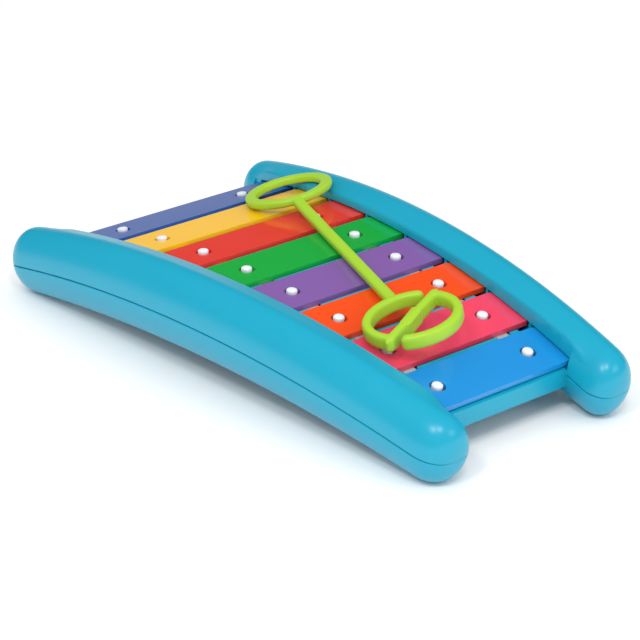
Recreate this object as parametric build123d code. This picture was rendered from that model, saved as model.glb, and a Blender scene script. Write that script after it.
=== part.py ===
from build123d import *
import math
import os

# Arched eight-note toy xylophone: two rounded rails carry a shallow tray of metal bars,
# with a one-piece plastic mallet lying on the bars.
# Frame: +X along the row towards the shortest bar, +Y to the left, +Z up, origin on the
# floor under the middle. Lengths in millimetres, angles in degrees.

os.makedirs("parts", exist_ok=True)

# ---- Bar row: flat bars laid side by side round a shallow arch -----------------------
BAR_NAMES = ["dark_blue", "yellow", "red", "green", "purple", "orange", "pink", "light_blue"]
BAR_PITCH = 30.0            # along the arch, centre to centre
BAR_WIDTH = 25.4
BAR_THICKNESS = 2.6
BAR_CORNER = 2.2            # plan radius of a bar's corners
BAR_BEVEL = 0.5
BAR_HOLE_RADIUS = 3.5
BAR_ARCH_RADIUS = 501.6     # through the tops of the bars
BAR_ROW_X = -1.0            # middle of the row
BAR_TOP_HEIGHT = 38.0       # top of the row at its middle
BAR_ROW_LEAN = 0.7          # the row leans down towards the short end
BAR_TUCK = 1.3              # how far a bar's end passes the lip
BAR_SIDE_SHIFT = 0.3        # a loose bar sits a little to the left on its pegs
BAR_REST_GAP = 0.1          # bar above its felt strip

# ---- Tray: straight sides that converge towards the short end ------------------------
TAPER = 0.0818              # sideways change per unit of length, each side
LIP_HALF_SPAN = 47.3        # lip line to the centre line, at the middle
LIP_GAP = 0.7               # lip above the bar tops
TRAY_DEPTH = 10.7           # bar tops to the tray's underside
TRAY_FLOOR = 2.0
TRAY_BACK = -119.0
TRAY_FRONT = 116.2
PANEL_THICKNESS = 2.2
PANEL_DROP = 3.2            # bar tops to the top of the end panels
LIP_RECESS = 3.2            # pocket under the lip for the bar ends
RECESS_WALL = 2.0
RIM_WIDTH = 6.5
RIM_ARCH_RADIUS = 620.0
RIM_TOP_HEIGHT = 42.6
RIM_BACK = -119.5
RIM_FRONT = 121.0
RIM_ROUND = 1.1
RIM_ROUND_STEP = 0.1
NOTCH_BACK = -123.5         # the rails are cut back to the lip line from here
BASE_CLEARANCE = 0.12       # tray to the lower shells
CROSS_RIB_THICKNESS = 2.0
CROSS_RIB_DROP = 1.3        # bar tops to the top of the ribs between the bars
CROSS_RIB_END_GAP = 6.0     # rib end to the lip line
WALL_RIB_THICKNESS = 1.6

# ---- Pegs and felt -------------------------------------------------------------------
PEG_HALF_SPAN = 29.9        # peg line to the centre line, at the middle
PEG_TAPER = 0.0459
PEG_RADIUS = 2.45
PEG_SPIGOT_RADIUS = 1.7
PEG_SPIGOT_LENGTH = 4.5
PEG_PROUD = 1.4             # top of the peg above the bar
PEG_DOME_ROUND = 1.2
PEG_CLEARANCE = 0.1
PEG_BOSS_RADIUS = 4.2
STRIP_THICKNESS = 1.5
STRIP_WIDTH = 7.0
STRIP_CLEARANCE = 0.15
BEAM_WIDTH = 4.0

# ---- Rails: closed rounded shells split along a curved joint -------------------------
RAIL_ARCH_RADIUS = 658.0
RAIL_SPLIT_HEIGHT = 27.1    # joint between the shells at the middle of the length
RAIL_HALF_LENGTH = 138.5    # along the arch
RAIL_HALF_SPAN = 59.1       # rail centre line to the object's centre line, at the middle
RAIL_BOW = 2.82             # both ends of a rail curve in by this much
RAIL_HALF_WIDTH = 12.3
RAIL_CROWN = 18.5           # joint to the top of the rail, at the middle
RAIL_BELLY = 18.0           # joint to the underside of the rail, at the middle
RAIL_END_THINNING = 3.05    # crown and belly are both less by this at the ends
RAIL_CAP_LENGTH = 14.3
RAIL_CAP_POWER = 2.7        # bluntness of the rounded ends
RAIL_CAP_TURNS = [72, 56, 42, 30, 20, 11, 4]  # sections round an end, 90 is full size
RAIL_WALL = 2.4

# ---- Screws that hold the lower shells -----------------------------------------------
SCREW_STATIONS = [-92.0, 0.0, 92.0]
SCREW_HEAD_RADIUS = 2.8
SCREW_HEAD_HEIGHT = 2.0
SCREW_RADIUS = 1.45
SCREW_LENGTH = 12.0
SCREW_HEAD_ROUND = 0.8
SCREW_CROSS_LENGTH = 3.2
SCREW_CROSS_WIDTH = 0.8
SCREW_SEAT_DEPTH = 4.0      # joint down to the seat of the screw's head
POST_RADIUS = 4.6
POST_PILOT_RADIUS = 1.5
POST_CLEAR_RADIUS = 1.7
POST_ACCESS_RADIUS = 3.3

# ---- Mallet: closed ring handle, straight stick, openwork striking head ----------------
MALLET_ORIGIN = (77.2, -14.1, 39.6)
MALLET_YAW = -19.0
MALLET_PITCH = 1.0          # the head end is the lower one
MALLET_ROLL = 10.6
STICK_BACK = -141.9         # from the mallet's origin, along the stick
STICK_BACK_OFFSET = -2.0    # the stick meets the ring a little to the right
STICK_HALF_WIDTH = 2.6
STICK_HALF_HEIGHT = 2.3
HEAD_CENTRE = (-2.6, 0.0, 2.0)
HEAD_RADIUS_ALONG = 17.4
HEAD_RADIUS_ACROSS = 19.3
HEAD_HALF_WIDTH = 2.5
HEAD_HALF_HEIGHT = 3.0
HEAD_DIAGONAL_ANGLE = 129.0
HEAD_DIAGONAL_LENGTH = 49.0
HEAD_ARC_SWEEP = 160.0
HUB_CORNERS = [(-6.6, 3.4), (-1.6, 5.6), (6.6, -3.4), (1.6, -5.6)]
HUB_HALF_THICKNESS = 2.8
RING_RADIUS = 18.1
RING_HALF_WIDTH = 2.8
RING_HALF_HEIGHT = 1.7
RING_BEND = 10.4

SIDES = {"left": 1.0, "right": -1.0}
FAR = 400.0                 # larger than anything in the model


def side_line(x):
    """Lip line of the tray: distance from the centre line at x."""
    return LIP_HALF_SPAN - TAPER * x


def peg_line(x):
    """Peg line: distance from the centre line at x."""
    return PEG_HALF_SPAN - PEG_TAPER * x


# ---- Arch geometry of the bar row ------------------------------------------------------
LEAN = math.radians(BAR_ROW_LEAN)
ARCH_CENTRE_X = BAR_ROW_X - BAR_ARCH_RADIUS * math.sin(LEAN)
ARCH_CENTRE_Z = BAR_TOP_HEIGHT - BAR_ARCH_RADIUS * math.cos(LEAN)
PITCH_ANGLE = BAR_PITCH / BAR_ARCH_RADIUS
MIDDLE_INDEX = (len(BAR_NAMES) - 1) / 2


def arch_angle(index):
    """Angle round the bar arch of a bar, or of a gap when the index is a half."""
    return LEAN + (index - MIDDLE_INDEX) * PITCH_ANGLE


def arch_point(angle, drop):
    """Point (x, z) at an angle round the bar arch, a distance below the bar tops."""
    radius = BAR_ARCH_RADIUS - drop
    return ARCH_CENTRE_X + radius * math.sin(angle), ARCH_CENTRE_Z + radius * math.cos(angle)


def bar_plane(index):
    """Plane on a bar's top face: x across the bar, y along it, z outwards."""
    angle = arch_angle(index)
    x, z = arch_point(angle, 0.0)
    return Plane(
        origin=(x, 0, z),
        x_dir=(math.cos(angle), 0, -math.sin(angle)),
        z_dir=(math.sin(angle), 0, math.cos(angle)),
    )


def facet_points(drop):
    """Corners (x, z) of the faceted arch that lies flat under every bar."""
    scale = 1.0 / math.cos(PITCH_ANGLE / 2)
    points = []
    for gap in range(len(BAR_NAMES) + 1):
        angle = arch_angle(gap - 0.5)
        radius = (BAR_ARCH_RADIUS - drop) * scale
        points.append((ARCH_CENTRE_X + radius * math.sin(angle), ARCH_CENTRE_Z + radius * math.cos(angle)))
    return points


def side_prism(points):
    """Solid across the whole width from a closed outline in the XZ plane."""
    outline = Polyline([(x, -FAR / 2, z) for x, z in points], close=True)
    return extrude(make_face(outline), amount=FAR, dir=(0, 1, 0))


def plan_prism(points):
    """Solid through the whole height from a closed outline in the XY plane."""
    outline = Polyline([(x, y, -FAR / 2) for x, y in points], close=True)
    return extrude(make_face(outline), amount=FAR, dir=(0, 0, 1))


def cross_cylinder(centre_x, centre_z, radius):
    """Solid cylinder lying across the whole width."""
    return Plane(origin=(centre_x, 0, centre_z), z_dir=(0, 1, 0)) * Cylinder(radius, FAR)


def arch_cylinder(drop):
    """Everything inside the bar arch, a distance below the bar tops."""
    return cross_cylinder(ARCH_CENTRE_X, ARCH_CENTRE_Z, BAR_ARCH_RADIUS - drop)


def tapered_plan(x_back, x_front, offset):
    """Plan between the two lip lines, moved outwards by an offset."""
    return plan_prism(
        [
            (x_back, side_line(x_back) + offset),
            (x_front, side_line(x_front) + offset),
            (x_front, -side_line(x_front) - offset),
            (x_back, -side_line(x_back) - offset),
        ]
    )


def side_band(side, x_back, x_front, inner, outer):
    """Plan strip on one side, between two offsets from the lip line."""
    return plan_prism(
        [
            (x_back, side * (side_line(x_back) + inner)),
            (x_front, side * (side_line(x_front) + inner)),
            (x_front, side * (side_line(x_front) + outer)),
            (x_back, side * (side_line(x_back) + outer)),
        ]
    )


# ---- Rail shells -----------------------------------------------------------------------
def rail_centre(s):
    """Point on the rail's joint line at an arc length s from the middle."""
    angle = s / RAIL_ARCH_RADIUS
    x = RAIL_ARCH_RADIUS * math.sin(angle)
    z = RAIL_SPLIT_HEIGHT - RAIL_ARCH_RADIUS * (1 - math.cos(angle))
    y = RAIL_HALF_SPAN - TAPER * x - RAIL_BOW * (s / RAIL_HALF_LENGTH) ** 2
    return x, y, z


def rail_section(s, side, scale, wall):
    """Closed section of a rail: two half ellipses that meet at the joint line."""
    x, y, z = rail_centre(s)
    angle = s / RAIL_ARCH_RADIUS
    thinning = RAIL_END_THINNING * (s / RAIL_HALF_LENGTH) ** 2
    half_width = (RAIL_HALF_WIDTH - wall) * scale
    crown = (RAIL_CROWN - thinning - wall) * scale
    belly = (RAIL_BELLY - thinning - wall) * scale
    plane = Plane(
        origin=(x, side * y, z),
        x_dir=(0, 1, 0),
        z_dir=(math.cos(angle), 0, -math.sin(angle)),
    )
    upper = EllipticalCenterArc((0, 0), half_width, crown, start_angle=0, arc_size=180)
    lower = EllipticalCenterArc((0, 0), half_width, belly, start_angle=180, arc_size=180)
    return plane * Wire([upper, lower])


def rail_body(side, wall=0.0):
    """Whole rail as a solid, or its hollow when a wall is given."""
    half_length = RAIL_HALF_LENGTH - wall
    straight = half_length - RAIL_CAP_LENGTH
    stations = [(straight * k / 4, 1.0) for k in range(5)]
    for turn in RAIL_CAP_TURNS:
        along = math.cos(math.radians(turn)) ** (2 / RAIL_CAP_POWER)
        scale = math.sin(math.radians(turn)) ** (2 / RAIL_CAP_POWER)
        stations.append((straight + RAIL_CAP_LENGTH * along, scale))
    mirrored = [(-s, scale) for s, scale in reversed(stations[1:])]
    sections = [rail_section(s, side, scale, wall) for s, scale in mirrored + stations]
    return Part() + Solid.make_loft(sections)



JOINT_AXIS_HEIGHT = RAIL_SPLIT_HEIGHT - RAIL_ARCH_RADIUS
joint_cylinder = cross_cylinder(0, JOINT_AXIS_HEIGHT, RAIL_ARCH_RADIUS)
rim_cylinder = cross_cylinder(0, RIM_TOP_HEIGHT - RIM_ARCH_RADIUS, RIM_ARCH_RADIUS)
below_floor = Pos(0, 0, -FAR / 2) * Box(FAR, FAR, FAR)


def screw_plane(s, side):
    """Plane on the rail's joint at a screw: z points outwards through the crown."""
    x, y, z = rail_centre(s)
    angle = s / RAIL_ARCH_RADIUS
    return Plane(
        origin=(x, side * y, z),
        x_dir=(math.cos(angle), 0, -math.sin(angle)),
        z_dir=(math.sin(angle), 0, math.cos(angle)),
    )


def standing_cylinder(plane, radius, bottom, top):
    """Cylinder on a plane's normal, between two heights above the plane."""
    return plane * Pos(0, 0, (bottom + top) / 2) * Cylinder(radius, top - bottom)


def rail_shells(side):
    """Upper and lower shell of one rail, with screw posts and drilled holes."""
    rail = rail_body(side)
    posts = []
    for s in SCREW_STATIONS:
        posts.append(standing_cylinder(screw_plane(s, side), POST_RADIUS, -FAR / 8, FAR / 8))
    hollow = rail_body(side, RAIL_WALL)
    inner_wall = side_band(side, -FAR / 2, FAR / 2, LIP_RECESS + RECESS_WALL, FAR / 4)
    upper = (rail - ((hollow & inner_wall) - posts)) - joint_cylinder
    lower = (rail - (hollow - posts)) & joint_cylinder
    for s in SCREW_STATIONS:
        plane = screw_plane(s, side)
        upper = upper - standing_cylinder(plane, POST_PILOT_RADIUS, -1.0, SCREW_LENGTH - 2.0)
        lower = lower - standing_cylinder(plane, POST_CLEAR_RADIUS, -FAR / 8, 1.0)
        lower = lower - standing_cylinder(plane, POST_ACCESS_RADIUS, -FAR / 8, -SCREW_SEAT_DEPTH)
    return upper, lower - below_floor


def rim(side):
    """Raised edge along the inside of a rail, rounded along its top."""
    band = side_band(side, RIM_BACK, RIM_FRONT, 0.0, RIM_WIDTH)
    solid = (band & rim_cylinder) - joint_cylinder
    solid = fillet(solid.edges().filter_by(Axis.Z), RIM_ROUND)
    top = max(solid.faces(), key=lambda face: face.normal_at().Z)
    return fillet(top.edges(), RIM_ROUND - RIM_ROUND_STEP)


# ---- Upper body: both upper shells, the rims and the tray in one moulding ---------------
left_upper, left_lower = rail_shells(SIDES["left"])
right_upper = mirror(left_upper, about=Plane.XZ)
right_lower = mirror(left_lower, about=Plane.XZ)
left_rim = rim(SIDES["left"])
right_rim = mirror(left_rim, about=Plane.XZ)

recess_offset = LIP_RECESS + RECESS_WALL
tray = tapered_plan(TRAY_BACK, TRAY_FRONT, recess_offset) & arch_cylinder(PANEL_DROP)
for side in SIDES.values():
    wall_band = side_band(side, TRAY_BACK, TRAY_FRONT, -1.0, recess_offset)
    tray = tray + (wall_band & arch_cylinder(-LIP_GAP - 1.0))
tray = tray - arch_cylinder(TRAY_DEPTH)
tray_above = tray - joint_cylinder
tray_below = tray & joint_cylinder
for side in SIDES.values():
    tray_below = tray_below - rail_body(side, -BASE_CLEARANCE)
tray = tray_above + tray_below

upper_body = left_upper + right_upper + tray + left_rim + right_rim

floor_cylinder = arch_cylinder(TRAY_DEPTH - TRAY_FLOOR)
panel_top_cylinder = arch_cylinder(PANEL_DROP)
lip_cylinder = arch_cylinder(-LIP_GAP)
inside_back = TRAY_BACK + PANEL_THICKNESS
inside_front = TRAY_FRONT - PANEL_THICKNESS
upper_body = upper_body - (tapered_plan(inside_back, inside_front, 0.0) - floor_cylinder)
upper_body = upper_body - (tapered_plan(NOTCH_BACK, TRAY_FRONT, 0.0) - panel_top_cylinder)
for side in SIDES.values():
    deep_band = side_band(side, inside_back, inside_front, -1.0, LIP_RECESS)
    upper_body = upper_body - ((deep_band & lip_cylinder) - floor_cylinder)
    top_band = side_band(side, TRAY_BACK, TRAY_FRONT, -1.0, LIP_RECESS)
    upper_body = upper_body - ((top_band & lip_cylinder) - panel_top_cylinder)

# Ribs across the tray and up its walls, in every gap between two bars
strip_top = BAR_THICKNESS + BAR_REST_GAP
strip_bottom = strip_top + STRIP_THICKNESS
tray_slab = tapered_plan(inside_back - 1.0, inside_front + 1.0, 0.0)
ribs = []
for gap in range(1, len(BAR_NAMES)):
    plane = bar_plane(gap - 0.5)
    half_span = side_line(plane.origin.X)
    rib_height = TRAY_DEPTH - TRAY_FLOOR / 2 - CROSS_RIB_DROP
    rib_middle = -CROSS_RIB_DROP - rib_height / 2
    rib_length = 2 * (half_span - CROSS_RIB_END_GAP)
    ribs.append(plane * Pos(0, 0, rib_middle) * Box(CROSS_RIB_THICKNESS, rib_length, rib_height))
    wall_height = TRAY_DEPTH - TRAY_FLOOR / 2 + LIP_GAP
    wall_middle = LIP_GAP - wall_height / 2
    wall_span = half_span + LIP_RECESS / 2 + 0.4
    for side in SIDES.values():
        spot = Pos(0, side * wall_span, wall_middle)
        wall_rib = plane * spot * Box(WALL_RIB_THICKNESS, LIP_RECESS - 0.4, wall_height)
        ribs.append(wall_rib - joint_cylinder)


def strip_band(side, half_width, x_back, x_front):
    """Plan strip along a peg line."""
    return plan_prism(
        [
            (x_back, side * (peg_line(x_back) - half_width)),
            (x_front, side * (peg_line(x_front) - half_width)),
            (x_front, side * (peg_line(x_front) + half_width)),
            (x_back, side * (peg_line(x_back) + half_width)),
        ]
    )


def faceted_slab(top_drop, bottom_drop):
    """Slab across the width with one flat facet under every bar."""
    return side_prism(facet_points(top_drop) + list(reversed(facet_points(bottom_drop))))


# Beams and bosses under the peg lines carry the felt strips and the pegs
strip_back = inside_back + 0.4
strip_front = inside_front - 0.4
supports = []
notches = []
strips = {}
for name, side in SIDES.items():
    beam = strip_band(side, BEAM_WIDTH / 2, inside_back - 1.0, inside_front + 1.0)
    supports.append(beam & faceted_slab(strip_bottom, TRAY_DEPTH - TRAY_FLOOR / 2))
    notch = strip_band(side, STRIP_WIDTH / 2 + STRIP_CLEARANCE, inside_back, inside_front)
    notches.append(notch & faceted_slab(-1.0, strip_bottom))
    strip = strip_band(side, STRIP_WIDTH / 2, strip_back, strip_front)
    strips[name] = strip & faceted_slab(strip_top, strip_bottom)

peg_planes = []
for side in SIDES.values():
    for index in range(len(BAR_NAMES)):
        plane = bar_plane(index)
        peg_y = side * peg_line(plane.origin.X)
        peg_planes.append((index, side, plane * Pos(0, peg_y, 0)))
boss_bottom = -(TRAY_DEPTH - TRAY_FLOOR / 2)
for index, side, spot in peg_planes:
    height = -strip_bottom - boss_bottom
    supports.append(spot * Pos(0, 0, -strip_bottom - height / 2) * Cylinder(PEG_BOSS_RADIUS, height))

upper_body = upper_body + ribs
upper_body = upper_body - notches
upper_body = upper_body + supports
spigot_middle = -strip_bottom - PEG_SPIGOT_LENGTH / 2
spigot = Pos(0, 0, spigot_middle) * Cylinder(PEG_SPIGOT_RADIUS, PEG_SPIGOT_LENGTH)
upper_body = upper_body - [spot * spigot for index, side, spot in peg_planes]
peg_hole = Cylinder(PEG_RADIUS + PEG_CLEARANCE, FAR / 8)
for name, side in SIDES.items():
    holes = [spot * peg_hole for index, peg_side, spot in peg_planes if peg_side == side]
    strips[name] = strips[name] - holes

# ---- Bars --------------------------------------------------------------------------------
bars = {}
for index, name in enumerate(BAR_NAMES):
    plane = bar_plane(index)
    half_length = side_line(plane.origin.X) + BAR_TUCK
    blank = Box(BAR_WIDTH, 2 * half_length, BAR_THICKNESS)
    blank = fillet(blank.edges().filter_by(Axis.Z), BAR_CORNER)
    blank = chamfer(blank.faces().sort_by(Axis.Z)[-1].edges(), BAR_BEVEL)
    bar = plane * Pos(0, BAR_SIDE_SHIFT, -BAR_THICKNESS / 2) * blank
    for side in SIDES.values():
        hole_y = side * peg_line(plane.origin.X) + BAR_SIDE_SHIFT
        bar = bar - plane * Pos(0, hole_y, 0) * Cylinder(BAR_HOLE_RADIUS, FAR / 8)
    bars[name + "_bar"] = bar

# ---- Pegs --------------------------------------------------------------------------------
peg_height = strip_bottom + PEG_PROUD
peg_head = Pos(0, 0, PEG_PROUD - peg_height / 2) * Cylinder(PEG_RADIUS, peg_height)
peg_head = fillet(peg_head.faces().sort_by(Axis.Z)[-1].edges(), PEG_DOME_ROUND)
peg = peg_head + spigot

# ---- Screws --------------------------------------------------------------------------------
head_middle = -SCREW_SEAT_DEPTH - SCREW_HEAD_HEIGHT / 2
screw_head = Pos(0, 0, head_middle) * Cylinder(SCREW_HEAD_RADIUS, SCREW_HEAD_HEIGHT)
screw_head = fillet(screw_head.faces().sort_by(Axis.Z)[0].edges(), SCREW_HEAD_ROUND)
shank_middle = -SCREW_SEAT_DEPTH + SCREW_LENGTH / 2
screw = screw_head + Pos(0, 0, shank_middle) * Cylinder(SCREW_RADIUS, SCREW_LENGTH)
recess_z = -SCREW_SEAT_DEPTH - SCREW_HEAD_HEIGHT
screw = screw - Pos(0, 0, recess_z) * Box(SCREW_CROSS_LENGTH, SCREW_CROSS_WIDTH, SCREW_HEAD_HEIGHT)
screw = screw - Pos(0, 0, recess_z) * Box(SCREW_CROSS_WIDTH, SCREW_CROSS_LENGTH, SCREW_HEAD_HEIGHT)

# ---- Mallet --------------------------------------------------------------------------------
yaw = math.radians(MALLET_YAW)
pitch = math.radians(MALLET_PITCH)
roll = math.radians(MALLET_ROLL)
stick_dir = Vector(math.cos(pitch) * math.cos(yaw), math.cos(pitch) * math.sin(yaw), -math.sin(pitch))
level_dir = Vector(-math.sin(yaw), math.cos(yaw), 0)
upright_dir = stick_dir.cross(level_dir)
mallet_normal = upright_dir * math.cos(roll) - level_dir * math.sin(roll)
mallet_plane = Plane(origin=MALLET_ORIGIN, x_dir=stick_dir, z_dir=mallet_normal)


def straight_rod(start, end, half_width, half_height):
    """Rod of oval section between two points that lie level in the mallet's own plane."""
    direction = end - start
    section = Plane(origin=start, x_dir=Vector(-direction.Y, direction.X, 0), z_dir=direction)
    return extrude(section * Ellipse(half_width, half_height), direction.length)


def head_arc(start_angle):
    """One curved arm of the head, an oval rod swept round most of half a turn."""
    path = EllipticalCenterArc(
        (0, 0), HEAD_RADIUS_ALONG, HEAD_RADIUS_ACROSS, start_angle=start_angle, arc_size=HEAD_ARC_SWEEP
    )
    section = Plane(origin=path @ 0, x_dir=(0, 0, 1), z_dir=path % 0)
    return sweep(section * Ellipse(HEAD_HALF_HEIGHT, HEAD_HALF_WIDTH), path=path)


diagonal_angle = math.radians(HEAD_DIAGONAL_ANGLE)
diagonal_tip = Vector(math.cos(diagonal_angle), math.sin(diagonal_angle), 0) * (HEAD_DIAGONAL_LENGTH / 2)
head = straight_rod(-diagonal_tip, diagonal_tip, HEAD_HALF_WIDTH, HEAD_HALF_HEIGHT - 0.1)
head = head + head_arc(HEAD_DIAGONAL_ANGLE - HEAD_ARC_SWEEP)
head = head + head_arc(HEAD_DIAGONAL_ANGLE + 180 - HEAD_ARC_SWEEP)
hub_outline = make_face(Polyline(HUB_CORNERS, close=True))
head = head + extrude(hub_outline, HUB_HALF_THICKNESS, both=True)
stick_start = Vector(STICK_BACK, STICK_BACK_OFFSET, 0)
stick_end = Vector(HEAD_CENTRE[0] - HEAD_RADIUS_ALONG, 0, 0)
stick = straight_rod(stick_start, stick_end, STICK_HALF_WIDTH, STICK_HALF_HEIGHT)
bend = math.radians(RING_BEND)
ring_x = STICK_BACK - RING_RADIUS * math.cos(bend)
ring_z = -RING_RADIUS * math.sin(bend)
ring_section = Plane.XZ * Pos(RING_RADIUS, 0, 0) * Ellipse(RING_HALF_WIDTH, RING_HALF_HEIGHT)
ring = Pos(ring_x, 0, ring_z) * Rot(0, -RING_BEND, 0) * revolve(ring_section, Axis.Z)
mallet = mallet_plane * (Pos(*HEAD_CENTRE) * head + stick + ring)

# ---- Every sub-part is written to its own file -----------------------------------------------
nodes = {"upper_body": upper_body, "left_rail_base": left_lower, "right_rail_base": right_lower}
for name, strip in strips.items():
    nodes[name + "_felt_strip"] = strip
nodes.update(bars)
for index, side, spot in peg_planes:
    side_name = "left" if side > 0 else "right"
    nodes[f"{BAR_NAMES[index]}_{side_name}_peg"] = spot * peg
for name, side in SIDES.items():
    screws = [screw_plane(s, side) * screw for s in SCREW_STATIONS]
    nodes[name + "_base_screws"] = Compound(children=screws)
nodes["mallet"] = mallet
for name, solid in nodes.items():
    solid.label = name
    export_step(solid, f"parts/{name}.step")
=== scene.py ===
import math

import bmesh
import bpy
from mathutils import Matrix, Vector


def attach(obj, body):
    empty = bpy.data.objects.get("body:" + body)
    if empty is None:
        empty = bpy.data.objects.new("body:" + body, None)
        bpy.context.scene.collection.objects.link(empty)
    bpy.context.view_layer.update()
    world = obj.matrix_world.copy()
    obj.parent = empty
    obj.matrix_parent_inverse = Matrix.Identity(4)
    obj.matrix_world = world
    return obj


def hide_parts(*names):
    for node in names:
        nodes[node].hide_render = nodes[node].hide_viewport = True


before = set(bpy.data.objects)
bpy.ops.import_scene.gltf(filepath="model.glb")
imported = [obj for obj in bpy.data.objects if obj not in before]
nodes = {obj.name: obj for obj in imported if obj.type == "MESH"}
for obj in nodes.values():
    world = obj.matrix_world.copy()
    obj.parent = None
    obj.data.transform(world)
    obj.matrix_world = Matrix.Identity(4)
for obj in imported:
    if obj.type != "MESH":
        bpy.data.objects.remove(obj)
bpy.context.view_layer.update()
MM = 0.001

# ---- Sizes shared with the solid model, in millimetres ---------------------------------
BAR_NAMES = ["dark_blue", "yellow", "red", "green", "purple", "orange", "pink", "light_blue"]
BAR_PITCH = 30.0
BAR_WIDTH = 25.4
BAR_THICKNESS = 2.6
BAR_CORNER = 2.2
BAR_ARCH_RADIUS = 501.6
BAR_TOP_HEIGHT = 38.0
BAR_ROW_X = -1.0
BAR_ROW_LEAN = math.radians(0.7)
BAR_TUCK = 1.3
BAR_SIDE_SHIFT = 0.3
HOLE_RADIUS = 3.5
LIP_HALF_SPAN = 47.3
TAPER = 0.0818
PEG_HALF_SPAN = 29.9
PEG_TAPER = 0.0459
PEG_RADIUS = 2.45
PEG_PROUD = 1.4
PEG_DEPTH = 4.2
MIDDLE_OF_ROW = 3.5
SIDES = (1, -1)

ARCH_X = BAR_ROW_X - BAR_ARCH_RADIUS * math.sin(BAR_ROW_LEAN)
ARCH_Z = BAR_TOP_HEIGHT - BAR_ARCH_RADIUS * math.cos(BAR_ROW_LEAN)
BOX_FACES = [(3, 2, 1, 0), (4, 5, 6, 7), (0, 1, 5, 4), (1, 2, 6, 5), (2, 3, 7, 6), (3, 0, 4, 7)]


def placement(x_axis, y_axis, z_axis, origin):
    """Matrix with three axes as its columns, at an origin."""
    matrix = Matrix((x_axis, y_axis, z_axis)).transposed().to_4x4()
    matrix.translation = origin
    return matrix


def bar_matrix(index):
    """Place of a bar: x across it, y along it, z out of its top face."""
    angle = BAR_ROW_LEAN + (index - MIDDLE_OF_ROW) * BAR_PITCH / BAR_ARCH_RADIUS
    x = ARCH_X + BAR_ARCH_RADIUS * math.sin(angle)
    z = ARCH_Z + BAR_ARCH_RADIUS * math.cos(angle)
    across = Vector((math.cos(angle), 0, -math.sin(angle)))
    along = Vector((0, 1, 0))
    return placement(across, along, across.cross(along), Vector((x, 0, z)))


def peg_line(x):
    """Distance of the pegs from the centre line at x."""
    return PEG_HALF_SPAN - PEG_TAPER * x


def lip_line(x):
    """Distance of the lips from the centre line at x."""
    return LIP_HALF_SPAN - TAPER * x


def link(name, mesh):
    """Smooth-shaded object in the scene from a finished mesh."""
    for face in mesh.polygons:
        face.use_smooth = True
    obj = bpy.data.objects.new(name, mesh)
    bpy.context.scene.collection.objects.link(obj)
    return obj


def mesh_from(name, points, faces):
    """Mesh from points in millimetres."""
    mesh = bpy.data.meshes.new(name)
    mesh.from_pydata([tuple(Vector(p) * MM) for p in points], [], faces)
    mesh.update()
    return mesh


def sweep_faces(count, rings, closed=False):
    """Faces between neighbouring rings of count points, with both ends covered unless they meet."""
    faces = []
    for ring in range(rings if closed else rings - 1):
        this = ring * count
        following = (ring + 1) % rings * count
        for step in range(count):
            after = (step + 1) % count
            faces.append((this + step, this + after, following + after, following + step))
    if not closed:
        faces.append(tuple(reversed(range(count))))
        faces.append(tuple(range((rings - 1) * count, rings * count)))
    return faces


def apply_modifiers(obj):
    """Bakes an object's modifiers into its mesh."""
    graph = bpy.context.evaluated_depsgraph_get()
    baked = bpy.data.meshes.new_from_object(obj.evaluated_get(graph))
    obj.modifiers.clear()
    obj.data = baked


# ---- Materials ---------------------------------------------------------------------------
def node(tree, kind, **values):
    """Shader node with its inputs set."""
    made = tree.nodes.new(kind)
    for key, value in values.items():
        made.inputs[key.replace("_", " ")].default_value = value
    return made


def surface(name, colour, roughness, metallic=0.0, coat=0.0, bump=0.0, bump_scale=900.0,
            soften=0.25, mottling=0.03, subsurface=0.0, sheen=0.0):
    """Procedural material: tinted base, uneven gloss, fine relief and softened edges."""
    material = bpy.data.materials.new(name)
    material.use_nodes = True
    tree = material.node_tree
    shader = tree.nodes["Principled BSDF"]
    place = tree.nodes.new("ShaderNodeTexCoord")
    cloud = node(tree, "ShaderNodeTexNoise", Scale=28.0, Detail=4.0, Roughness=0.55)
    tree.links.new(place.outputs["Object"], cloud.inputs["Vector"])
    tint = tree.nodes.new("ShaderNodeMix")
    tint.data_type = "RGBA"
    tint.inputs["A"].default_value = [c * (1 - mottling) for c in colour] + [1]
    tint.inputs["B"].default_value = [min(1, c * (1 + mottling)) for c in colour] + [1]
    tree.links.new(cloud.outputs["Fac"], tint.inputs["Factor"])
    tree.links.new(tint.outputs["Result"], shader.inputs["Base Color"])
    gloss = tree.nodes.new("ShaderNodeMapRange")
    gloss.inputs["To Min"].default_value = roughness * 0.88
    gloss.inputs["To Max"].default_value = roughness * 1.15
    tree.links.new(cloud.outputs["Fac"], gloss.inputs["Value"])
    tree.links.new(gloss.outputs["Result"], shader.inputs["Roughness"])
    edge = tree.nodes.new("ShaderNodeBevel")
    edge.samples = 6
    edge.inputs["Radius"].default_value = soften * MM
    grain = node(tree, "ShaderNodeTexNoise", Scale=bump_scale, Detail=2.0, Roughness=0.5)
    tree.links.new(place.outputs["Object"], grain.inputs["Vector"])
    relief = tree.nodes.new("ShaderNodeBump")
    relief.inputs["Strength"].default_value = bump
    relief.inputs["Distance"].default_value = 0.05 * MM
    tree.links.new(grain.outputs["Fac"], relief.inputs["Height"])
    tree.links.new(edge.outputs["Normal"], relief.inputs["Normal"])
    tree.links.new(relief.outputs["Normal"], shader.inputs["Normal"])
    shader.inputs["Metallic"].default_value = metallic
    shader.inputs["Coat Weight"].default_value = coat
    shader.inputs["Coat Roughness"].default_value = 0.08
    shader.inputs["Subsurface Weight"].default_value = subsurface
    shader.inputs["Subsurface Scale"].default_value = 1.5 * MM
    shader.inputs["Sheen Weight"].default_value = sheen
    return material


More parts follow.
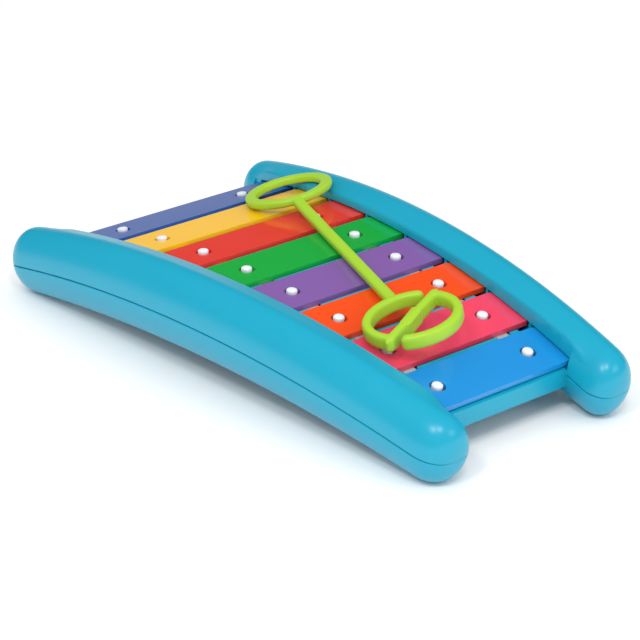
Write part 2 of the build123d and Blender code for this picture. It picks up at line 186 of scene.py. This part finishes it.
def from_srgb(red, green, blue):
    """Linear colour from display values out of 255."""
    shares = [value / 255 for value in (red, green, blue)]
    return [((share + 0.055) / 1.055) ** 2.4 if share > 0.04 else share / 12.92 for share in shares]


turquoise = surface("turquoise_plastic", from_srgb(14, 156, 186), 0.3, bump=0.12, soften=0.3)
felt = surface(
    "grey_felt", from_srgb(168, 174, 176), 0.95, bump=0.9, bump_scale=1600.0, mottling=0.12, sheen=0.4)
white = surface("white_plastic", from_srgb(222, 226, 232), 0.28, bump=0.05, mottling=0.015, subsurface=0.2)
steel = surface("screw_steel", from_srgb(190, 190, 188), 0.3, metallic=1.0, bump=0.2, mottling=0.06)
lime = surface("lime_plastic", from_srgb(160, 204, 48), 0.34, bump=0.08, subsurface=0.15)
BAR_COLOURS = {
    "dark_blue": (28, 84, 168),
    "yellow": (250, 192, 4),
    # red is mixed paler than the bar's own red: painted sheen, standing in for the pale sheen on the bar's
    # top
    "red": (228, 54, 40),
    "green": (20, 170, 62),
    "purple": (130, 92, 164),
    "orange": (242, 76, 12),
    "pink": (236, 66, 98),
    "light_blue": (20, 138, 210),
}
paints = {
    name: surface(name + "_paint", from_srgb(*colour), 0.3, coat=0.5, bump=0.06, bump_scale=500.0)
    for name, colour in BAR_COLOURS.items()
}


def paint_node(name, material):
    """Gives a carried-over solid one material."""
    obj = nodes[name]
    if not obj.material_slots:
        obj.data.materials.append(material)
    for material_slot in obj.material_slots:
        material_slot.material = material


for name in nodes:
    if name in ("upper_body", "left_rail_base", "right_rail_base"):
        paint_node(name, turquoise)
    elif name.endswith("felt_strip"):
        paint_node(name, felt)
    elif name.endswith("base_screws"):
        paint_node(name, steel)
    elif name.endswith("_peg"):
        paint_node(name, white)
    elif name == "mallet":
        paint_node(name, lime)
    else:
        paint_node(name, paints[name[: -len("_bar")]])


# ---- Bars: flat plates with rounded corners, rolled edges and two peg holes ------------------
BAR_EDGE_ROUND = 0.55
CORNER_STEPS = 6
HOLE_STEPS = 40
SHARP_ANGLE = math.radians(40)


def ring_of_edges(mesh, points):
    """Closed loop of edges through points."""
    corners = [mesh.verts.new(point) for point in points]
    for one, other in zip(corners, corners[1:] + corners[:1]):
        mesh.edges.new((one, other))


def bar(index, name):
    """One painted bar, replacing its solid."""
    place = bar_matrix(index)
    x = place.translation.x
    corner_x = BAR_WIDTH / 2 - BAR_CORNER
    corner_y = lip_line(x) + BAR_TUCK - BAR_CORNER
    outline = []
    for quarter, (sx, sy) in enumerate([(1, 1), (-1, 1), (-1, -1), (1, -1)]):
        for step in range(CORNER_STEPS + 1):
            angle = math.radians(90 * quarter + 90 * step / CORNER_STEPS)
            outline.append((
                sx * corner_x + BAR_CORNER * math.cos(angle),
                sy * corner_y + BAR_CORNER * math.sin(angle) + BAR_SIDE_SHIFT,
                0,
            ))
    shape = bmesh.new()
    ring_of_edges(shape, outline)
    for side in SIDES:
        hole_y = side * peg_line(x) + BAR_SIDE_SHIFT
        hole = []
        for step in range(HOLE_STEPS):
            turn = 2 * math.pi * step / HOLE_STEPS
            hole.append((HOLE_RADIUS * math.cos(turn), hole_y + HOLE_RADIUS * math.sin(turn), 0))
        ring_of_edges(shape, hole)
    bmesh.ops.triangle_fill(
        shape, use_beauty=True, use_dissolve=False, edges=shape.edges[:], normal=(0, 0, 1))
    grown = bmesh.ops.extrude_face_region(shape, geom=shape.faces[:])
    lower = [item for item in grown["geom"] if isinstance(item, bmesh.types.BMVert)]
    bmesh.ops.translate(shape, verts=lower, vec=(0, 0, -BAR_THICKNESS))
    bmesh.ops.recalc_face_normals(shape, faces=shape.faces[:])
    bmesh.ops.transform(shape, matrix=Matrix.Diagonal((MM, MM, MM, 1)) @ place, verts=shape.verts[:])
    mesh = bpy.data.meshes.new(name)
    shape.to_mesh(mesh)
    shape.free()
    obj = link(name, mesh)
    edges = obj.modifiers.new("edges", "BEVEL")
    edges.width = BAR_EDGE_ROUND * MM
    edges.segments = 4
    edges.limit_method = "ANGLE"
    edges.angle_limit = SHARP_ANGLE
    edges.harden_normals = True
    apply_modifiers(obj)
    colour = name[: -len("_bar_plate")]
    obj.data.materials.append(paints[colour])
    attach(obj, colour + "_bar")
    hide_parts(colour + "_bar")


# ---- Pegs: turned profile with a domed head ---------------------------------------------------
PEG_TOP_RADIUS = 1.6
PEG_EDGE_ROUND = 0.85
PEG_DOME = 0.22
PEG_EDGE_STEPS = 5
PEG_FOOT_BEVEL = 0.2
PEG_STEPS = 40


def turned(profile, steps):
    """Points and faces of a profile (radius, height) turned round the Z axis, closed at both ends."""
    points = [(0, 0, profile[0][1])]
    for radius, height in profile[1:-1]:
        for step in range(steps):
            turn = 2 * math.pi * step / steps
            points.append((radius * math.cos(turn), radius * math.sin(turn), height))
    points.append((0, 0, profile[-1][1]))
    faces = []
    rings = len(profile) - 2
    for step in range(steps):
        after = (step + 1) % steps
        faces.append((0, 1 + step, 1 + after))
        for ring in range(rings - 1):
            low = 1 + ring * steps
            high = low + steps
            faces.append((low + step, high + step, high + after, low + after))
        top = 1 + (rings - 1) * steps
        faces.append((top + after, top + step, len(points) - 1))
    return points, faces


def peg(index, side, name):
    """One white peg with its domed head above the bar."""
    profile = [(0, PEG_PROUD)]
    for radius in (0.5, 1.0, 1.35):
        profile.append((radius, PEG_PROUD - PEG_DOME * (radius / PEG_TOP_RADIUS) ** 2))
    edge_centre = PEG_PROUD - PEG_DOME - PEG_EDGE_ROUND
    for step in range(PEG_EDGE_STEPS + 1):
        turn = math.radians(90 - 90 * step / PEG_EDGE_STEPS)
        radius = PEG_TOP_RADIUS + PEG_EDGE_ROUND * math.cos(turn)
        profile.append((radius, edge_centre + PEG_EDGE_ROUND * math.sin(turn)))
    profile += [(PEG_RADIUS, -PEG_DEPTH), (PEG_RADIUS - PEG_FOOT_BEVEL, -PEG_DEPTH), (0, -PEG_DEPTH)]
    points, faces = turned(profile, PEG_STEPS)
    place = bar_matrix(index)
    spot = place @ Matrix.Translation((0, side * peg_line(place.translation.x), 0))
    mesh = mesh_from(name, [spot @ Vector(p) for p in points], [tuple(reversed(f)) for f in faces])
    obj = link(name, mesh)
    obj.data.materials.append(white)
    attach(obj, "frame")
    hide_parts(name[: -len("_head")])


# ---- Mallet: rounded bars fused into one moulding -----------------------------------------------
MALLET_ORIGIN = Vector((77.2, -14.1, 39.6))
MALLET_YAW = math.radians(-19.0)
MALLET_PITCH = math.radians(1.0)
MALLET_ROLL = math.radians(10.6)
STICK_BACK = Vector((-141.9, -2.0, 0))
STICK_HALF = (2.6, 2.05)
HEAD_CENTRE = Vector((-2.6, 0, 2.0))
HEAD_RADII = (17.4, 19.3)
HEAD_HALF = (2.15, 3.3)
DIAGONAL_ANGLE = 129.0
DIAGONAL_REACH = 22.4
DIAGONAL_STRAIGHT = 19.5
DIAGONAL_TIP = 1.5
ARC_SWEEP = 160.0
ARC_STEPS = 60
ARC_TAIL_START = 155.0
ARC_TAIL = [(0.0, 1.0), (1.0, 0.97), (1.8, 0.86), (2.3, 0.66), (2.5, 0.4)]
HUB_CORNERS = [(-5.6, 2.4), (-0.6, 4.6), (7.6, -4.4), (2.6, -6.6)]
HUB_BOTTOM = -2.9
HUB_TOP = 3.0
RING_RADIUS = 18.1
RING_HALF = (2.8, 1.9)
RING_BEND = math.radians(10.4)
RING_STEPS = 120
SECTION_POWER = 3.6
SECTION_STEPS = 20
MALLET_VOXEL = 0.42
UPRIGHT = Vector((0, 0, 1))


def rod(centres, sides, uprights, sizes, closed=False):
    """Bar through centres, with rounded-square sections of given half width and half height."""
    power = 2 / SECTION_POWER
    points = []
    for centre, side, upright, (half_width, half_height) in zip(centres, sides, uprights, sizes):
        for step in range(SECTION_STEPS):
            turn = 2 * math.pi * step / SECTION_STEPS
            u = math.copysign(abs(math.cos(turn)) ** power, math.cos(turn)) * half_width
            v = math.copysign(abs(math.sin(turn)) ** power, math.sin(turn)) * half_height
            points.append(centre + side * u + upright * v)
    return points, sweep_faces(SECTION_STEPS, len(centres), closed)


def head_arc(start):
    """One curved arm of the head, running back from the diagonal to a blunt rounded end."""
    centres, sides, sizes = [], [], []
    along, across = HEAD_RADII
    stops = [(start - ARC_SWEEP * step / ARC_STEPS, 1.0) for step in range(ARC_STEPS)]
    stops += [(start - ARC_TAIL_START - math.degrees(reach / along), scale) for reach, scale in ARC_TAIL]
    for angle, scale in stops:
        turn = math.radians(angle)
        centres.append(HEAD_CENTRE + Vector((along * math.cos(turn), across * math.sin(turn), 0)))
        sides.append(Vector((across * math.cos(turn), along * math.sin(turn), 0)).normalized())
        sizes.append((HEAD_HALF[0] * scale, HEAD_HALF[1] * scale))
    return rod(centres, sides, [UPRIGHT] * len(centres), sizes)


def head_diagonal():
    """Straight arm across the head, drawn in at both tips."""
    turn = math.radians(DIAGONAL_ANGLE)
    along = Vector((math.cos(turn), math.sin(turn), 0))
    tips = [(DIAGONAL_STRAIGHT, 1.0), (DIAGONAL_REACH - DIAGONAL_TIP, 0.7), (DIAGONAL_REACH, 0.25)]
    stops = [(-distance, scale) for distance, scale in reversed(tips)] + tips
    centres = [HEAD_CENTRE + along * distance for distance, scale in stops]
    sizes = [(HEAD_HALF[0] * scale, HEAD_HALF[1] * (0.6 + 0.4 * scale)) for distance, scale in stops]
    return rod(centres, [UPRIGHT.cross(along)] * len(stops), [UPRIGHT] * len(stops), sizes)


def stick():
    """Straight stick from the ring to the head."""
    ends = [STICK_BACK, Vector((HEAD_CENTRE.x - HEAD_RADII[0], 0, 0))]
    side = UPRIGHT.cross(ends[1] - ends[0]).normalized()
    return rod(ends, [side] * 2, [UPRIGHT] * 2, [STICK_HALF] * 2)


def handle_ring():
    """Ring at the back of the stick, bent slightly out of the head's plane."""
    lean = Matrix.Rotation(-RING_BEND, 4, "Y")
    centre = Vector((STICK_BACK.x, 0, 0)) + lean @ Vector((-RING_RADIUS, 0, 0))
    spokes = []
    for step in range(RING_STEPS):
        turn = 2 * math.pi * step / RING_STEPS
        spokes.append(lean @ Vector((math.cos(turn), math.sin(turn), 0)))
    centres = [centre + spoke * RING_RADIUS for spoke in spokes]
    return rod(centres, spokes, [lean @ UPRIGHT] * RING_STEPS, [RING_HALF] * RING_STEPS, True)


def hub():
    """Flat plate over the middle of the diagonal."""
    points = [HEAD_CENTRE + Vector((x, y, z)) for z in (HUB_BOTTOM, HUB_TOP) for x, y in HUB_CORNERS]
    return points, BOX_FACES


def mallet():
    """The whole mallet as one fused, softened moulding."""
    parts = [
        head_arc(DIAGONAL_ANGLE),
        head_arc(DIAGONAL_ANGLE + 180),
        head_diagonal(),
        stick(),
        handle_ring(),
        hub(),
    ]
    yaw = Matrix.Rotation(MALLET_YAW, 3, "Z")
    stick_dir = yaw @ Vector((math.cos(MALLET_PITCH), 0, -math.sin(MALLET_PITCH)))
    level = yaw @ Vector((0, 1, 0))
    normal = stick_dir.cross(level) * math.cos(MALLET_ROLL) - level * math.sin(MALLET_ROLL)
    place = placement(stick_dir, normal.cross(stick_dir), normal, MALLET_ORIGIN)
    points, faces = [], []
    for part_points, part_faces in parts:
        base = len(points)
        points += [place @ p for p in part_points]
        faces += [tuple(base + k for k in face) for face in part_faces]
    obj = link("mallet_moulding", mesh_from("mallet_moulding", points, faces))
    fuse = obj.modifiers.new("fuse", "REMESH")
    fuse.mode = "VOXEL"
    fuse.voxel_size = MALLET_VOXEL * MM
    soften = obj.modifiers.new("soften", "SMOOTH")
    soften.factor = 0.5
    soften.iterations = 4
    apply_modifiers(obj)
    for face in obj.data.polygons:
        face.use_smooth = True
    obj.data.materials.append(lime)
    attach(obj, "mallet")
    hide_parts("mallet")


for index, name in enumerate(BAR_NAMES):
    bar(index, name + "_bar_plate")
    for side_name, side in (("left", 1), ("right", -1)):
        peg(index, side, f"{name}_{side_name}_peg_head")
mallet()


# ---- Rails, rims and tray ------------------------------------------------------------------
RAIL_ARCH_RADIUS = 658.0
RAIL_SPLIT_HEIGHT = 27.1
RAIL_HALF_LENGTH = 138.4
RAIL_HALF_SPAN = 59.1
RAIL_BOW = 2.82
RAIL_HALF_WIDTH = 12.3
RAIL_CROWN = 18.5
RAIL_BELLY = 18.0
RAIL_END_THINNING = 3.05
RAIL_CAP_LENGTH = 14.3
RAIL_CAP_POWER = 2.7
SEAM_HALF_GAP = 0.2
SEAM_ROUND = 0.45
RIM_ARCH_RADIUS = 620.0
RIM_TOP_HEIGHT = 42.6
RIM_END = 128.0
RIM_FADE_START = 113.0
SHOULDER_ROUND = 1.4
STRAIGHT_STEPS = 36
CROWN_STEPS = 84
JOINT_FLAT = 1.8
PRISM_STEPS = 48
WALL_OVERLAP = 0.3
BEAM_HALF = 2.0
BOSS_RADIUS = 4.2
RIB_HALF = 1.0
WALL_RIB_HALF = 0.8
FINE_ROUND = 0.25
PANEL_ROUND = 0.3
INSIDE_REACH = 6.0
FUSE_DEPTH = 1.0
FACE_APART = 0.1
BAR_SPACE = 8.0
OPEN_ABOVE = 40.0
OPEN_BELOW = 30.0
WALL_RIB_START = 0.4
WALL_RIB_BITE = 0.5
CREASE_ANGLE = math.radians(32)
TRAY_BACK = -119.0
TRAY_FRONT = 116.2
NOTCH_BACK = -123.5
PANEL_THICKNESS = 2.2
PANEL_DROP = 3.2
LIP_GAP = 0.7
LIP_RECESS = 3.2
FLOOR_DROP = 8.7
TRAY_DEPTH = 10.7
STRIP_DROP = 4.2
STRIP_HALF_NOTCH = 3.65
RIB_DROP = 1.3
SCREW_STATIONS = (-92.0, 0.0, 92.0)
SCREW_SEAT_DEPTH = 4.0
ACCESS_RADIUS = 3.3


def arch_height(x, drop):
    """Height of the bar arch at x, a distance below the bar tops."""
    return ARCH_Z + math.sqrt((BAR_ARCH_RADIUS - drop) ** 2 - (x - ARCH_X) ** 2)


def rim_height(x):
    """Top of the rim at x."""
    return RIM_TOP_HEIGHT - RIM_ARCH_RADIUS + math.sqrt(RIM_ARCH_RADIUS**2 - x**2)


def rail_frame(s, side):
    """Joint-line point of a rail at an arc length, with the direction out through the crown."""
    angle = s / RAIL_ARCH_RADIUS
    x = RAIL_ARCH_RADIUS * math.sin(angle)
    y = RAIL_HALF_SPAN - TAPER * x - RAIL_BOW * (s / RAIL_HALF_LENGTH) ** 2
    z = RAIL_SPLIT_HEIGHT - RAIL_ARCH_RADIUS * (1 - math.cos(angle))
    return Vector((x, side * y, z)), Vector((math.sin(angle), 0, math.cos(angle)))


def shoulder(s, side, half_width, crown):
    """Surface height across a rail's inner side: a wall by the bars, sloping up into the crown."""
    centre, out = rail_frame(s, side)
    x = centre.x + out.x * (rim_height(centre.x) - centre.z)
    wall = abs(centre.y) - lip_line(x)
    wall_top = (rim_height(x) - centre.z) / out.z
    u = wall / half_width
    v = wall_top / crown
    touch = math.atan2(v, u) + math.acos(min(1.0, 1 / math.hypot(u, v)))
    top = half_width * math.cos(touch)
    top_height = crown * math.sin(touch)
    fade = min(1.0, max(0.0, (abs(x) - RIM_FADE_START) / (RIM_END - RIM_FADE_START)))
    fade = fade * fade * (3 - 2 * fade)

    def height(inward, plain):
        if fade == 1 or inward <= top or inward >= wall:
            return plain
        raised = top_height + (wall_top - top_height) * (inward - top) / (wall - top)
        rounding = max(0.0, inward - wall + SHOULDER_ROUND)
        raised -= SHOULDER_ROUND - math.sqrt(SHOULDER_ROUND**2 - rounding**2)
        return plain + max(0.0, raised - plain) * (1 - fade)

    return height


def rail_half(side, upper):
    """Upper or lower half of a rail, with the edge at the joint rounded off."""
    straight = RAIL_HALF_LENGTH - RAIL_CAP_LENGTH
    stations = [(straight * step / STRAIGHT_STEPS, 1.0) for step in range(STRAIGHT_STEPS + 1)]
    for turn in range(86, 1, -4):
        along = math.cos(math.radians(turn)) ** (2 / RAIL_CAP_POWER)
        scale = math.sin(math.radians(turn)) ** (2 / RAIL_CAP_POWER)
        stations.append((straight + RAIL_CAP_LENGTH * along, scale))
    stations = [(-s, scale) for s, scale in reversed(stations[1:])] + stations
    points = []
    for s, scale in stations:
        centre, out = rail_frame(s, side)
        height = (RAIL_CROWN if upper else RAIL_BELLY) - RAIL_END_THINNING * (s / RAIL_HALF_LENGTH) ** 2
        half_width = RAIL_HALF_WIDTH * scale
        height *= scale
        gap = SEAM_HALF_GAP * scale
        curl = SEAM_ROUND * scale
        first = math.asin((gap + curl) / height)
        section = [
            (half_width - JOINT_FLAT * scale, gap),
            (half_width - curl, gap),
            (half_width - 0.3 * curl, gap + 0.3 * curl),
        ]
        raised = shoulder(s, side, half_width, height)
        for step in range(CROWN_STEPS + 1):
            turn = first + (math.pi - 2 * first) * step / CROWN_STEPS
            y, z = half_width * math.cos(turn), height * math.sin(turn)
            section.append((y, raised(-side * y, z) if upper else z))
        section += [(-y, z) for y, z in reversed(section[:3])]
        points += [centre + Vector((0, y, 0)) + out * (z if upper else -z) for y, z in section]
    return solid("rail_half", points, sweep_faces(len(section), len(stations)))


def solid(name, points, faces):
    """Closed working object with its faces turned outwards."""
    mesh = mesh_from(name, points, faces)
    shape = bmesh.new()
    shape.from_mesh(mesh)
    bmesh.ops.recalc_face_normals(shape, faces=shape.faces[:])
    shape.to_mesh(mesh)
    shape.free()
    return link(name, mesh)


def curved_prism(name, x_back, x_front, low_y, high_y, low_z, high_z):
    """Closed solid along the row between two side curves and two height curves."""
    points = []
    corners = ((low_y, low_z), (high_y, low_z), (high_y, high_z), (low_y, high_z))
    for step in range(PRISM_STEPS + 1):
        x = x_back + (x_front - x_back) * step / PRISM_STEPS
        points += [(x, y(x), z(x)) for y, z in corners]
    return solid(name, points, sweep_faces(4, PRISM_STEPS + 1))


def block(name, place, low, high):
    """Closed box between two corners in a bar's or gap's own axes."""
    corners = []
    for z in (low[2], high[2]):
        corners += [(low[0], low[1], z), (high[0], low[1], z), (high[0], high[1], z), (low[0], high[1], z)]
    return solid(name, [place @ Vector(corner) for corner in corners], BOX_FACES)


def post(name, place, radius, bottom, top):
    """Closed round post along a place's own Z axis."""
    points, faces = turned([(0, top), (radius, top), (radius, bottom), (0, bottom)], PRISM_STEPS)
    return solid(name, [place @ Vector(p) for p in points], faces)


def round_edges(obj, width, segments=3):
    """Rounds an object's edges and bakes the result."""
    edges = obj.modifiers.new("edges", "BEVEL")
    edges.width = width * MM
    edges.segments = segments
    edges.limit_method = "ANGLE"
    edges.angle_limit = SHARP_ANGLE
    apply_modifiers(obj)
    return obj


def cut(obj, cutters):
    """Takes cutters out of an object and removes them."""
    for cutter in cutters:
        taken = obj.modifiers.new("cut", "BOOLEAN")
        taken.operation = "DIFFERENCE"
        taken.solver = "EXACT"
        taken.object = cutter
    apply_modifiers(obj)
    for cutter in cutters:
        bpy.data.objects.remove(cutter)
    return obj


def gather(name, parts, material, body, replaced):
    """Joins working objects into one shown piece."""
    shape = bmesh.new()
    for part in parts:
        shape.from_mesh(part.data)
        bpy.data.objects.remove(part)
    mesh = bpy.data.meshes.new(name)
    shape.to_mesh(mesh)
    shape.free()
    obj = link(name, mesh)
    mesh.set_sharp_from_angle(angle=CREASE_ANGLE)
    mesh.materials.clear()
    mesh.materials.append(material)
    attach(obj, body)
    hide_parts(replaced)
    return obj


def at_drop(drop):
    """Height curve along the row, a distance below the bar tops."""
    return lambda x: arch_height(x, drop)


def beside_lip(side, offset):
    """Side curve along the row, a distance outside the lips."""
    return lambda x: side * (lip_line(x) + offset)


def beside_pegs(side, offset):
    """Side curve along the row, a distance to the left of one line of pegs."""
    return lambda x: side * peg_line(x) + offset


def upper_rail(side):
    """Upper half of a rail, cut away for the bars' ends and the tray."""
    inner = beside_lip(side, -BAR_SPACE)
    outer = beside_lip(side, LIP_RECESS)
    under_lip = at_drop(-LIP_GAP)
    pocket = curved_prism(
        "pocket", TRAY_BACK + PANEL_THICKNESS, TRAY_FRONT - PANEL_THICKNESS,
        inner, outer, at_drop(FLOOR_DROP), under_lip)
    slot_above = curved_prism(
        "slot_above", TRAY_BACK, TRAY_FRONT, inner, outer, at_drop(PANEL_DROP), under_lip)
    notch = curved_prism(
        "notch", NOTCH_BACK, TRAY_FRONT,
        inner, beside_lip(side, 0.0), at_drop(PANEL_DROP), at_drop(-OPEN_ABOVE))
    return cut(rail_half(side, True), [pocket, slot_above, notch])


def tray_slabs():
    """Tray floor and its two end panels."""
    spans = [
        (TRAY_BACK + FUSE_DEPTH, TRAY_FRONT - FUSE_DEPTH, FLOOR_DROP, TRAY_DEPTH - FACE_APART),
        (TRAY_BACK, TRAY_BACK + PANEL_THICKNESS, PANEL_DROP, TRAY_DEPTH),
        (TRAY_FRONT - PANEL_THICKNESS, TRAY_FRONT, PANEL_DROP, TRAY_DEPTH),
    ]
    reach = LIP_RECESS + WALL_OVERLAP
    slabs = []
    for x_back, x_front, top_drop, low_drop in spans:
        slab = curved_prism(
            "tray", x_back, x_front,
            beside_lip(-1, reach), beside_lip(1, reach), at_drop(low_drop), at_drop(top_drop))
        slabs.append(round_edges(slab, PANEL_ROUND))
    return slabs


def cross_ribs(place):
    """Rib across the tray in one gap between bars, notched over the felt strips, with its two wall ribs."""
    half_span = lip_line(place.translation.x)
    peg = peg_line(place.translation.x)
    reach = half_span - INSIDE_REACH
    bottom = FUSE_DEPTH - TRAY_DEPTH
    stretches = [
        (-reach, -peg - STRIP_HALF_NOTCH),
        (-peg + STRIP_HALF_NOTCH, peg - STRIP_HALF_NOTCH),
        (peg + STRIP_HALF_NOTCH, reach),
    ]
    ribs = [block("rib", place, (-RIB_HALF, -reach, bottom), (RIB_HALF, reach, -STRIP_DROP))]
    for low, high in stretches:
        raised = block("rib", place, (-RIB_HALF, low, -STRIP_DROP - FUSE_DEPTH), (RIB_HALF, high, -RIB_DROP))
        ribs.append(round_edges(raised, FINE_ROUND))
    for side in SIDES:
        ends = (side * (half_span + WALL_RIB_START), side * (half_span + LIP_RECESS + WALL_RIB_BITE))
        top = LIP_GAP + WALL_RIB_BITE
        rib = block("wall_rib", place, (-WALL_RIB_HALF, min(ends), bottom), (WALL_RIB_HALF, max(ends), top))
        ribs.append(round_edges(rib, FINE_ROUND))
    return ribs


def peg_supports(side):
    """Beam under one line of pegs, with a round boss at each peg."""
    supports = [curved_prism(
        "beam", TRAY_BACK + FUSE_DEPTH, TRAY_FRONT - FUSE_DEPTH,
        beside_pegs(side, -BEAM_HALF), beside_pegs(side, BEAM_HALF),
        at_drop(TRAY_DEPTH - FUSE_DEPTH), at_drop(STRIP_DROP + FACE_APART))]
    for index in range(len(BAR_NAMES)):
        place = bar_matrix(index)
        spot = place @ Matrix.Translation((0, side * peg_line(place.translation.x), 0))
        supports.append(post("boss", spot, BOSS_RADIUS, FUSE_DEPTH - TRAY_DEPTH, -STRIP_DROP))
    return supports


def upper_body():
    """Both upper rail halves, and the tray with its ribs and bosses."""
    parts = [upper_rail(side) for side in SIDES]
    parts += tray_slabs()
    for gap in range(1, len(BAR_NAMES)):
        parts += cross_ribs(bar_matrix(gap - 0.5))
    for side in SIDES:
        parts += peg_supports(side)
    gather("upper_moulding", parts, turquoise, "frame", "upper_body")


def rail_base(side, name):
    """Lower half of a rail, flat under its ends, with three screw access holes."""
    holes = []
    for s in SCREW_STATIONS:
        centre, out = rail_frame(s, side)
        across = Vector((out.z, 0, -out.x))
        place = placement(across, out.cross(across), out, centre)
        holes.append(post("access", place, ACCESS_RADIUS, -OPEN_BELOW, -SCREW_SEAT_DEPTH))
    under = block("under", Matrix.Identity(4), (-200, -200, -OPEN_BELOW), (200, 200, 0))
    shell = cut(rail_half(side, False), holes + [under])
    gather(name + "_moulding", [shell], turquoise, "frame", name)


upper_body()
rail_base(1, "left_rail_base")
rail_base(-1, "right_rail_base")


# ---- Floor, light and camera -----------------------------------------------------------------
FLOOR_REACH = 6000
FLOOR_GAP = 0.05
LIGHT_TARGET = Vector((0, 0, 30))
SOFT_BOXES = [
    ("key_left", (330, -620, 820), 170, 170, 2.1),
    ("key_right", (560, -330, 850), 170, 170, 2.1),
    ("fill", (900, 300, 500), 400, 300, 1.2),
    ("back", (-1250, 800, 190), 900, 300, 0.32),
]
CAMERA_RIGHT = Vector((0.6303, 0.7764, 0.0))
CAMERA_UP = Vector((-0.3299, 0.2678, 0.9052))
CAMERA_BACK = Vector((0.7028, -0.5706, 0.4249))
CAMERA_TARGET = Vector((-7.1, 0, 38.0))
CAMERA_SHIFT = 2.67
CAMERA_DROP = 27.36
CAMERA_DISTANCE = 1032.9
CAMERA_LENS = 131.8
CAMERA_SENSOR = 36.0


def floor_and_light():
    """Pale floor that runs out of sight, with soft lights round the toy."""
    corners = [(x * FLOOR_REACH, y * FLOOR_REACH, 0) for x, y in ((-1, -1), (1, -1), (1, 1), (-1, 1))]
    floor = link("floor", mesh_from("floor", corners, [(0, 1, 2, 3)]))
    floor.location.z = -FLOOR_GAP * MM
    floor.data.materials.append(surface("pale_floor", (0.93, 0.93, 0.93), 0.7, bump=0.0, mottling=0.004))
    world = bpy.data.worlds.new("studio")
    world.use_nodes = True
    world.node_tree.nodes["Background"].inputs["Color"].default_value = (1.0, 1.0, 1.0, 1)
    world.node_tree.nodes["Background"].inputs["Strength"].default_value = 1.03
    bpy.context.scene.world = world
    world.cycles_visibility.glossy = False
    for name, place, width, height, power in SOFT_BOXES:
        light = bpy.data.lights.new(name, "AREA")
        light.shape = "RECTANGLE"
        light.size = width * MM
        light.size_y = height * MM
        light.energy = power
        lamp = bpy.data.objects.new(name, light)
        lamp.location = Vector(place) * MM
        lamp.rotation_euler = (LIGHT_TARGET * MM - lamp.location).to_track_quat("-Z", "Y").to_euler()
        bpy.context.scene.collection.objects.link(lamp)


def camera():
    """Long-lens view from above the short end, looking across the near rail."""
    offset = CAMERA_RIGHT * CAMERA_SHIFT - CAMERA_UP * CAMERA_DROP + CAMERA_BACK * CAMERA_DISTANCE
    lens = bpy.data.cameras.new("camera")
    lens.lens = CAMERA_LENS
    lens.sensor_width = CAMERA_SENSOR
    lens.clip_start = 0.01
    obj = bpy.data.objects.new("camera", lens)
    obj.matrix_world = placement(CAMERA_RIGHT, CAMERA_UP, CAMERA_BACK, (CAMERA_TARGET + offset) * MM)
    bpy.context.scene.collection.objects.link(obj)
    bpy.context.scene.camera = obj


floor_and_light()
camera()
bpy.context.scene.view_settings.view_transform = "Standard"
